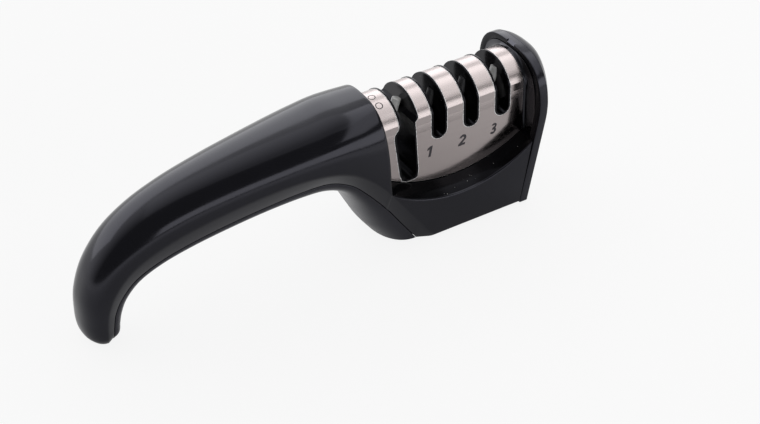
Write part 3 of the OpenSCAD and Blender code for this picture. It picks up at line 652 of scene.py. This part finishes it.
def numeral_outlines():
    """The numerals as outlines of height 1, going round each once."""
    two, upper, lower = (0.335, 0.665), (0.315, 0.735), (0.315, 0.295)
    return {
        "1": [(0.24, 0), (0.47, 0), (0.47, 1), (0.28, 1), (0.02, 0.86), (0.02, 0.64), (0.24, 0.74)],
        "2": arc(two, 0.335, 168, -28)
             + [(0.345, 0.2), (0.67, 0.2), (0.67, 0), (0.02, 0), (0.02, 0.17)]
             + arc(two, 0.125, -34, 168),
        "3": arc(upper, 0.265, 152, -42) + arc(lower, 0.295, 46, -152) + arc(lower, 0.1, -152, 84)
             + [(0.21, 0.4), (0.21, 0.59)] + arc(upper, 0.085, -84, 152),
    }


def make_numeral(digit, x, z):
    """A thin slanted numeral on the front face, its lower left corner at x, z."""
    outline = [(x + NUMERAL_H * (across + NUMERAL_SLANT * up), z + NUMERAL_H * up)
               for across, up in numeral_outlines()[digit]]
    loops = [[(px, y, pz) for px, pz in outline] for y in (-STEEL_HALF, -STEEL_HALF - NUMERAL_T)]
    return mesh_piece("numeral_" + digit, lambda bm: add_loft(bm, loops), 30.0)


def crown_point(x, off_ridge, rise):
    """A point over the steel's crown, some way from its ridge towards the front."""
    a, r = off_ridge / CROWN_R, CROWN_R + rise
    return x, -r * math.sin(a), CROWN_Z - CROWN_R + r * math.cos(a)


def build_rings(bm):
    """Two thin dark rings on the crown beside the scissors slot, a painted shade standing in for
    rings pressed into the steel.
    """
    section = ((-0.22, 0.0), (-0.16, 0.035), (0.16, 0.035), (0.22, 0.0), (0.0, -0.1))
    for x, off_ridge in ((-33.6, 0.5), (-33.3, 6.2)):
        loops = []
        for k in range(RING_PARTS + 1):
            a = 2 * math.pi * k / RING_PARTS
            loops.append([crown_point(x + (RING_R + out) * math.cos(a),
                                      off_ridge + (RING_R + out) * math.sin(a), up)
                          for out, up in section])
        add_loft(bm, loops, caps=False)


def outer_side(face):
    """Whether a face of the steel lies on its outer surface: the crown, the front or the back."""
    _, y, z = face.center / MM
    arm = Vector((0, y, z - CROWN_Z + CROWN_R))
    on_crown = abs(arm.length - CROWN_R) < 0.1 and face.normal.dot(arm.normalized()) > 0.98
    return on_crown or (abs(abs(y) - STEEL_HALF) < 0.05 and face.normal.y * y > 0.98 * abs(y))


def build_slot_highlights(bm):
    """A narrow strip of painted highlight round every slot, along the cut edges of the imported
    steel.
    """
    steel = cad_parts["steel_cover"].data
    places = [v.co / MM for v in steel.vertices]
    xs, _, zs = zip(*places)
    left, right, low = min(xs) + END_STRIP, max(xs) - END_STRIP, min(zs) + END_STRIP
    key = [tuple(round(c, 3) for c in p) for p in places]
    beside = {}
    for face in steel.polygons:
        ring = [key[i] for i in face.vertices]
        for a, b in zip(ring, ring[1:] + ring[:1]):
            beside.setdefault(frozenset((a, b)), []).append(face)
    lean, rise, borders = {}, {}, []
    for pair, faces in beside.items():
        outer = [f for f in faces if outer_side(f)]
        if len(pair) < 2 or len(outer) != 1:
            continue
        a, b = (Vector(p) for p in sorted(pair))
        middle = (a + b) / 2
        if not (left < middle.x < right and middle.z > low):
            continue
        normal = outer[0].normal
        inward = normal.cross(b - a).normalized()
        if inward.dot(outer[0].center / MM - middle) < 0:
            inward = -inward
        if inward.z > 0.75 and abs(normal.y) > 0.98:
            # the steel's foot beside the ledge, which isn't a slot's edge
            continue
        borders.append(sorted(pair))
        for p in pair:
            lean[p] = lean.get(p, Vector()) + inward
            rise[p] = rise.get(p, Vector()) + normal
    section = {}
    for p in lean:
        at, d, n = Vector(p), lean[p].normalized(), rise[p].normalized()
        section[p] = [bm.verts.new(at + up * n + along * d) for up, along in
                      ((0.02, -0.02), (0.02, HIGHLIGHT_WIDTH), (-0.1, HIGHLIGHT_WIDTH / 2))]
    for a, b in borders:
        for i in range(3):
            bm.faces.new([section[a][i], section[a][i - 1], section[b][i - 1], section[b][i]])


# ---- Materials ----

class Tree:
    """A node tree, with short ways to add and join nodes."""

    def __init__(self, tree):
        self.nodes, self.links = tree.nodes, tree.links

    def put(self, socket, value):
        """Sets a socket to a number or a colour, or joins it to another node's output."""
        if isinstance(value, bpy.types.NodeSocket):
            self.links.new(value, socket)
        else:
            socket.default_value = value

    def add(self, kind, inputs=None, **settings):
        """A new node's outputs, with its settings made and its inputs set or joined."""
        node = self.nodes.new("ShaderNode" + kind)
        for label, value in settings.items():
            setattr(node, label, value)
        for label, value in (inputs or {}).items():
            self.put(node.inputs[label], value)
        return node.outputs

    def math(self, operation, *values):
        return self.add("Math", dict(enumerate(values)), operation=operation)[0]

    def noise(self, place, scale, detail, rough):
        return self.add("TexNoise", {"Vector": place, "Scale": scale, "Detail": detail,
                                     "Roughness": rough})["Fac"]

    def remap(self, value, low, high, to_low, to_high):
        return self.add("MapRange", {"Value": value, "From Min": low, "From Max": high,
                                     "To Min": to_low, "To Max": to_high})["Result"]

    def blend(self, share, a, b, kind="RGBA"):
        return self.add("Mix", {"Factor": share, "A": a, "B": b}, data_type=kind)["Result"]

    def shaded(self, colour, shade):
        """The colour times a shade that varies over the surface."""
        return self.add("VectorMath", {0: colour, "Scale": shade}, operation="SCALE")["Vector"]

    def bump(self, height, strength, distance=0.0001, **others):
        return self.add("Bump", {"Strength": strength, "Distance": distance, "Height": height,
                                 **others})["Normal"]

    def place(self):
        return self.add("TexCoord")["Object"]


def make_group(build, inputs):
    """A shared group with number inputs; build names its outputs from the tree and the inputs."""
    group = bpy.data.node_groups.new(build.__name__, "ShaderNodeTree")
    for label, value in inputs.items():
        socket = group.interface.new_socket(label, in_out="INPUT", socket_type="NodeSocketFloat")
        socket.default_value = value
    tree = Tree(group)
    results = build(tree, group.nodes.new("NodeGroupInput").outputs)
    for label in results:
        group.interface.new_socket(label, in_out="OUTPUT", socket_type="NodeSocketFloat")
    end = group.nodes.new("NodeGroupOutput")
    for label, value in results.items():
        tree.put(end.inputs[label], value)
    return group


def moulded_grain(tree, given):
    """The fine texture of a moulded surface: height, a roughness shift and a slight shade."""
    place = tree.place()
    patch = tree.noise(place, given["Patch Scale"], 3.0, 0.55)
    return {"Height": tree.noise(place, given["Grain Scale"], 3.0, 0.6),
            "Roughness Shift": tree.remap(patch, 0.3, 0.7, -0.04, 0.04),
            "Shade": tree.remap(patch, 0.3, 0.7, 0.9, 1.1)}


def brushing(tree, given):
    """Fine parallel scratches along the head: height, a roughness shift and a shade."""
    place = tree.add("Mapping", {"Vector": tree.place(), "Scale": (0.02, 1.0, 1.0)})[0]
    lines = tree.noise(place, given["Line Scale"], 3.0, 0.65)
    streaks = tree.noise(place, given["Streak Scale"], 2.0, 0.5)
    both = tree.math("ADD", tree.math("MULTIPLY", lines, 0.65),
                     tree.math("MULTIPLY", streaks, 0.35))
    return {"Height": lines,
            "Roughness Shift": tree.remap(both, 0.3, 0.7, -0.05, 0.06),
            "Shade": tree.remap(both, 0.3, 0.7, 0.94, 1.05)}


def dust_specks(tree, given):
    """A few tiny specks of metal dust, as a mask."""
    place = tree.place()
    cells = tree.add("TexVoronoi", {"Vector": place, "Scale": given["Speck Scale"]}, feature="F1")
    near = tree.math("LESS_THAN", cells["Distance"], 0.16)
    limit = tree.math("SUBTRACT", 0.72, given["Amount"])
    some = tree.math("GREATER_THAN", tree.noise(place, 260.0, 2.0, 0.5), limit)
    return {"Mask": tree.math("MULTIPLY", near, some)}


def bonded_grit(tree, given):
    """Bonded abrasive grains: height and a shade for each grain."""
    cells = tree.add("TexVoronoi", {"Vector": tree.place(), "Scale": given["Grain Scale"]})
    red = tree.add("SeparateColor", {"Color": cells["Color"]})["Red"]
    return {"Height": tree.math("SUBTRACT", 1.0, cells["Distance"]),
            "Shade": tree.remap(red, 0.0, 1.0, 0.55, 1.5)}


GRAIN = make_group(moulded_grain, {"Grain Scale": 3200.0, "Patch Scale": 60.0})
BRUSHING = make_group(brushing, {"Line Scale": 5200.0, "Streak Scale": 700.0})
DUST = make_group(dust_specks, {"Speck Scale": 900.0, "Amount": 0.05})
GRIT = make_group(bonded_grit, {"Grain Scale": 4500.0})


def new_finish(name, roughness, metallic=0.0, specular=0.5, coat=0.0):
    """A material, its tree, and the inputs of its main shader."""
    material = bpy.data.materials.new(name)
    material.use_nodes = True
    tree = Tree(material.node_tree)
    surface = tree.nodes["Principled BSDF"].inputs
    # Non-metals reflect with a blue tint: a painted bluish sheen standing in for the light's colour
    bluish_sheen = (1, 1, 1, 1) if metallic else (0.85, 0.85, 1.0, 1)
    settings = {"Roughness": roughness, "Metallic": metallic, "Specular IOR Level": specular,
                "Specular Tint": bluish_sheen, "Coat Weight": coat, "Coat Roughness": 0.1}
    for label, value in settings.items():
        tree.put(surface[label], value)
    return material, tree, surface


def moulded(name, colour, roughness, grain_scale, bump, dust=0.0, coat=0.0, specular=0.5):
    """Moulded plastic with a fine grain, uneven gloss and, where wanted, specks of dust."""
    material, tree, surface = new_finish(name, roughness, specular=specular, coat=coat)
    grain = tree.add("Group", {"Grain Scale": grain_scale}, node_tree=GRAIN)
    base = tree.shaded(colour, grain["Shade"])
    if dust:
        specks = tree.add("Group", {"Amount": dust}, node_tree=DUST)
        base = tree.blend(specks["Mask"], base, DUST_GREY)
    tree.put(surface["Base Color"], base)
    tree.put(surface["Roughness"], tree.math("ADD", grain["Roughness Shift"], roughness))
    tree.put(surface["Normal"], tree.bump(grain["Height"], bump))
    return material


# How closely a face has to point the crown's way, or square to the sides, to belong to them
ON_CROWN, ON_FLAT = 0.99, 0.985
# How much rougher the steel is on its edges and its crown
EDGE_DULL, CROWN_DULL = 0.3, 0.13
DUST_GREY = (0.5, 0.49, 0.47, 1)


def crown_normal(tree):
    """The true arc's normal on the head's crown, elsewhere the surface's own; then masks of the cut
    edges, which get a painted highlight, and of the crown."""
    place = tree.add("SeparateXYZ", {0: tree.place()})
    up = tree.math("SUBTRACT", place["Z"], (CROWN_Z - CROWN_R) * MM)
    arm = tree.add("CombineXYZ", {"Y": place["Y"], "Z": up})[0]
    arc_normal = tree.add("VectorMath", {0: arm}, operation="NORMALIZE")[0]
    surface = tree.add("NewGeometry")
    face = surface["True Normal"]
    alike = tree.add("VectorMath", {0: arc_normal, 1: face}, operation="DOT_PRODUCT")["Value"]
    crown = tree.math("GREATER_THAN", alike, ON_CROWN)
    normal = tree.blend(crown, surface["Normal"], arc_normal, "VECTOR")
    side = tree.add("SeparateXYZ", {0: face})["Y"]
    flat = tree.math("MAXIMUM", tree.math("ABSOLUTE", alike), tree.math("ABSOLUTE", side))
    return normal, tree.math("LESS_THAN", flat, ON_FLAT), crown


def brushed(name, colour, roughness, bump, glint_colour):
    """Brushed sheet metal, with a painted highlight on its cut and rounded edges, which are also
    duller.
    """
    material, tree, surface = new_finish(name, roughness, metallic=1.0)
    lines = tree.add("Group", node_tree=BRUSHING)
    normal, edges, crown = crown_normal(tree)
    shaded = tree.shaded(colour, lines["Shade"])
    # Painted highlight: the cut and rounded edges turn near white
    tree.put(surface["Base Color"], tree.blend(edges, shaded, (*glint_colour, 1)))
    dull = tree.math("ADD", tree.math("MULTIPLY", edges, EDGE_DULL),
                     tree.math("MULTIPLY", crown, CROWN_DULL))
    rough = tree.math("ADD", lines["Roughness Shift"], roughness)
    tree.put(surface["Roughness"], tree.math("ADD", rough, dull))
    tree.put(surface["Normal"], tree.bump(lines["Height"], bump, Normal=normal))
    return material


def gritty(name, colour, roughness, grain_scale, bump, metallic):
    """Metal with bonded grains or a grainy plating."""
    material, tree, surface = new_finish(name, roughness, metallic=metallic)
    grains = tree.add("Group", {"Grain Scale": grain_scale}, node_tree=GRIT)
    tree.put(surface["Base Color"], tree.shaded(colour, grains["Shade"]))
    tree.put(surface["Normal"], tree.bump(grains["Height"], bump, 0.0002))
    return material


SATIN_BLACK = moulded("satin_black_moulding", (0.0025, 0.0025, 0.004), 0.15, 2600.0, 0.02,
                      specular=0.42, coat=0.04)
BELLY_BLACK = moulded("satin_black_underside", (0.003, 0.003, 0.0045), 0.25, 2600.0, 0.03,
                      specular=0.62)
GUARD_BLACK = moulded("satin_black_guard", (0.004, 0.004, 0.006), 0.2, 2600.0, 0.03, specular=0.5)
# The notch's facet: the guard's black made lighter and more reflective, a painted highlight
NOTCH_PAINTED_HIGHLIGHT = moulded("notch_facet_painted_highlight", (0.02, 0.02, 0.024), 0.3, 2600.0, 0.02, specular=1.0)
LEDGE_BLACK = moulded("glossy_black_ledge", (0.0035, 0.0035, 0.004), 0.17, 1800.0, 0.01,
                      dust=0.1, specular=0.09)
# The guard's inner face: the guard's black made darker and much less reflective, a painted shade
GUARD_FACE_SHADE = moulded("guard_face_painted_shade", (0.003, 0.003, 0.004), 0.25, 2600.0, 0.02, specular=0.12)
GLOSS_BLACK = moulded("glossy_black_liner", (0.002, 0.002, 0.0025), 0.16, 1800.0, 0.01,
                      dust=0.015, specular=0.18)
COLLAR_BLACK = moulded("glossy_black_collar", (0.003, 0.003, 0.0035), 0.09, 1800.0, 0.006,
                       specular=0.5)
# The last colour is the painted highlight on the steel's cut and rounded edges
STEEL = brushed("brushed_steel", (0.50, 0.443, 0.437), 0.13, 0.0025, (0.95, 0.93, 0.92))
# Near-white, barely metallic strips along the slots' cut edges: a painted highlight
EDGE_GLINT_PAINT = gritty("painted_edge_highlight", (0.95, 0.94, 0.94), 0.5, 2500.0, 0.02, 0.1)
CERAMIC = moulded("white_ceramic", (0.88, 0.88, 0.86), 0.25, 3000.0, 0.02, coat=0.2)
COARSE_GRIT = gritty("coarse_grit", (0.045, 0.045, 0.048), 0.5, 3200.0, 0.5, 0.3)
FINE_GRIT = gritty("fine_grit", (0.075, 0.075, 0.08), 0.45, 6500.0, 0.35, 0.4)
RUBBER = moulded("pad_rubber", (0.03, 0.03, 0.032), 0.75, 1500.0, 0.25)
ZINC = gritty("zinc_plated_steel", (0.55, 0.56, 0.57), 0.32, 9000.0, 0.008, 1.0)
PRINT_GREY = moulded("grey_print", (0.05, 0.045, 0.047), 0.45, 2500.0, 0.03)
# Dark grey rings: painted shade for the grooves of the pressed rings
RING_PAINTED_SHADE = moulded("pressed_line_painted_shade", (0.12, 0.11, 0.105), 0.5, 2500.0, 0.03)


# ---- The pieces, placed and finished ----

def add_piece(piece, material, slot, *nodes):
    """Rides a piece on the body; it stands in for the named solids."""
    piece.data.materials.clear()
    piece.data.materials.append(material)
    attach(piece, "root")
    if nodes:
        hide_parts(*nodes)
    return piece


def second_finish(piece, material, chosen):
    """Gives another finish to the faces whose centre, in mm, and normal pass the test."""
    piece.data.materials.append(material)
    for face in piece.data.polygons:
        if chosen(face.center / MM, face.normal):
            face.material_index = len(piece.data.materials) - 1


def finish_node(name, material, soft):
    """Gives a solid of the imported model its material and, where wanted, soft edges."""
    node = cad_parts[name]
    for slot in node.material_slots:
        slot.material = material
    if not node.material_slots:
        node.data.materials.append(material)
    if soft:
        weld = node.modifiers.new("weld", "WELD")
        weld.merge_threshold = 1e-6
        soften_edges(node, soft)


def on_ledge(p, normal):
    """The head's upward faces beside the steel, up to the front face's rounded edge."""
    beside = p.x > JUNCTION_X and abs(p.y) < HANDLE_HALF - TOP_SOFT
    return beside and normal.z > 0.6 and p.z > FRONT_Z - 1


def on_guard_face(p, normal):
    """The guard's inner face and the floor of its recess, which carry a painted shade."""
    return p.x < GUARD_X + RECESS_D + 0.5 and normal.x < -0.85


def in_notch(p, normal):
    """The notch's slanted facet, which carries a painted highlight."""
    inside = abs(p.y) < NOTCH_HALF and p.z > GUARD_H - NOTCH_H - CLEAR
    return inside and -0.8 < normal.x < -0.4


upper_shell = mesh_piece("upper_shell", build_upper_housing, 50.0)
add_piece(upper_shell, SATIN_BLACK, "moulded_black", "upper_housing")
second_finish(upper_shell, LEDGE_BLACK, on_ledge)
belly_shell, base_plate = make_underside_cover()
add_piece(belly_shell, BELLY_BLACK, "moulded_black", "underside_cover")
add_piece(base_plate, BELLY_BLACK, "moulded_black")
guard = cut(mesh_piece("guard_shell", build_guard), [mesh_piece("notch", build_notch)], 35.0)
add_piece(guard, GUARD_BLACK, "moulded_black", "end_guard")
# A painted shade on the guard's inner face and its recess
second_finish(guard, GUARD_FACE_SHADE, on_guard_face)
# A painted highlight on the notch's facet
second_finish(guard, NOTCH_PAINTED_HIGHLIGHT, in_notch)
collar = mesh_piece("flared_collar", build_collar, 50.0)
add_piece(collar, COLLAR_BLACK, "gloss_black", "end_collar")
pad = soften_edges(mesh_piece("rubber_pad", build_pad, 30.0), 0.05)
add_piece(pad, RUBBER, "pad_rubber", "base_pad")
base_seats = [(x, y, BASE_Z + SCREW_HEAD_H + CLEAR) for x, y in BASE_SCREWS]
handle_seats = [(x, 0, underside_at(x) + HANDLE_SEAT_D) for x in HANDLE_SCREWS]
add_piece(make_screws("base_screw_heads", base_seats), ZINC, "screw_steel", "base_screws")
add_piece(make_screws("handle_screw_heads", handle_seats), ZINC, "screw_steel", "handle_screws")

# The solids that stay as packed, each row with their material and the rounding of their edges
for material, soft, *names in (
        (STEEL, 0.28, "steel_cover"), (GLOSS_BLACK, 0.18, "slot_liner"),
        (SATIN_BLACK, 0.0, "rod_keeper"),
        (CERAMIC, 0.25, "scissor_rod", "polish_rod_left", "polish_rod_right"),
        (COARSE_GRIT, 0.2, "coarse_rod_left", "coarse_rod_right"),
        (FINE_GRIT, 0.2, "fine_rod_left", "fine_rod_right"),
        (ZINC, 0.0, "keeper_screws", "liner_screws", "guard_screws")):
    for name in names:
        finish_node(name, material, soft)

for digit, x, z in (("1", -15.0, 37.2), ("2", 1.6, 37.0), ("3", 18.0, 36.9)):
    add_piece(make_numeral(digit, x, z), PRINT_GREY, "gloss_black")
# Rings of painted shade on the crown
add_piece(mesh_piece("crown_rings", build_rings, 60.0), RING_PAINTED_SHADE, "brushed_steel")
# Strips of painted highlight round the slots
add_piece(mesh_piece("slot_edge_highlights", build_slot_highlights, 30.0), EDGE_GLINT_PAINT, "brushed_steel")


# ---- Floor, light and camera ----

WHITE, FLOOR_GREY = (1, 1, 1, 1), (0.82, 0.82, 0.82, 1)
FLOOR_HALF, FLOOR_Z, CAMERA_GLOW = 6000, -0.05, 0.88


def make_floor():
    """A matte pale floor that glows a little for the camera, and mirrors as white only at the back
    and far away. It is clear from below."""
    corners = [(x * FLOOR_HALF, y * FLOOR_HALF, FLOOR_Z) for x, y in CORNERS]
    floor = mesh_piece("floor", lambda bm: bm.faces.new([bm.verts.new(p) for p in corners]))
    material = bpy.data.materials.new("pale_floor")
    material.use_nodes = True
    tree = Tree(material.node_tree)
    tree.nodes.remove(tree.nodes["Principled BSDF"])
    matte = tree.add("BsdfDiffuse", {"Color": FLOOR_GREY})[0]
    glow = tree.add("Emission", {"Color": WHITE})[0]
    clear = tree.add("BsdfTransparent")[0]
    seen = tree.add("LightPath")
    across = tree.add("SeparateXYZ", {0: tree.place()})["Y"]
    towards_back = tree.remap(across, -0.05, 0.11, 0.1, 1.0)
    distance = tree.add("VectorMath", {0: tree.place()}, operation="LENGTH")["Value"]
    far_away = tree.remap(distance, 0.18, 0.42, 0.0, 1.0)
    mirrors = tree.math("MAXIMUM", seen["Is Glossy Ray"], seen["Is Transmission Ray"])
    glows = tree.math("MULTIPLY", seen["Is Camera Ray"], CAMERA_GLOW)
    white_there = tree.math("MAXIMUM", towards_back, far_away)
    share = tree.math("MAXIMUM", glows, tree.math("MULTIPLY", mirrors, white_there))
    top = tree.add("MixShader", {"Fac": share, 1: matte, 2: glow})[0]
    below = tree.add("NewGeometry")["Backfacing"]
    sided = tree.add("MixShader", {"Fac": below, 1: top, 2: clear})[0]
    tree.put(tree.nodes["Material Output"].inputs["Surface"], sided)
    floor.data.materials.append(material)


def make_world():
    """White for the camera; for the rest a room that is white at the back and dark in front."""
    world = bpy.data.worlds.new("studio")
    bpy.context.scene.world = world
    world.use_nodes = True
    tree = Tree(world.node_tree)
    back = tree.nodes["Background"].inputs
    tree.put(back["Color"], WHITE)
    seen = tree.add("LightPath")
    across = tree.add("SeparateXYZ", {0: tree.add("TexCoord")["Generated"]})["Y"]
    ceiling = tree.remap(across, -0.1, 0.5, 0.18, 1.1)
    shown = tree.math("MAXIMUM", seen["Is Glossy Ray"], seen["Is Transmission Ray"])
    room = tree.math("MULTIPLY", ceiling, tree.remap(shown, 0, 1, 0.6, 1.0))
    tree.put(back["Strength"], tree.math("MAXIMUM", room, seen["Is Camera Ray"]))


def add_softbox(name, place, target, size, power, colour=(1, 1, 1)):
    """A soft rectangular light, in metres and watts, aimed from its place at a target."""
    light = bpy.data.lights.new(name, "AREA")
    light.shape = "RECTANGLE"
    light.size, light.size_y = size
    light.energy = power
    light.color = colour
    lamp = new_object(name, light)
    lamp.location = place
    lamp.rotation_mode = "QUATERNION"
    lamp.rotation_quaternion = (Vector(target) - Vector(place)).to_track_quat("-Z", "Y")


def make_camera():
    """The photograph's view."""
    camera = bpy.data.cameras.new("camera")
    camera.sensor_width = 36.0
    camera.lens = 90.0
    camera.clip_start, camera.clip_end = 0.01, 50.0
    right = (0.85186807, -0.52349261, -0.01662176, 0)
    up = (0.32785229, 0.5082204, 0.79638238, 0)
    back = (-0.40845278, -0.68386221, 0.60456498, 0)
    place = (-0.37429176, -0.57584233, 0.51475938, 1)
    bpy.context.scene.camera = new_object("camera", camera)
    bpy.context.scene.camera.matrix_world = Matrix((right, up, back, place)).transposed()


make_floor()
make_world()
add_softbox("softbox_back", (-0.15, 1.0, 0.6), (-0.03, 0.0, 0.04), (2.4, 0.8), 7.5,
            (0.97, 0.98, 1.0))
add_softbox("softbox_above", (0.1, 0.25, 1.5), (0.0, 0.0, 0.04), (1.6, 1.2), 2.0)
add_softbox("softbox_head", (0.22, -0.16, 0.42), (0.22, -0.1599, 0.0), (0.22, 0.64), 0.55)
add_softbox("strip_front", (0.35, -0.9, 0.27), (0.0, 0.0, 0.05), (1.4, 0.34), 2.6)
make_camera()
bpy.context.scene.view_settings.view_transform = "Standard"
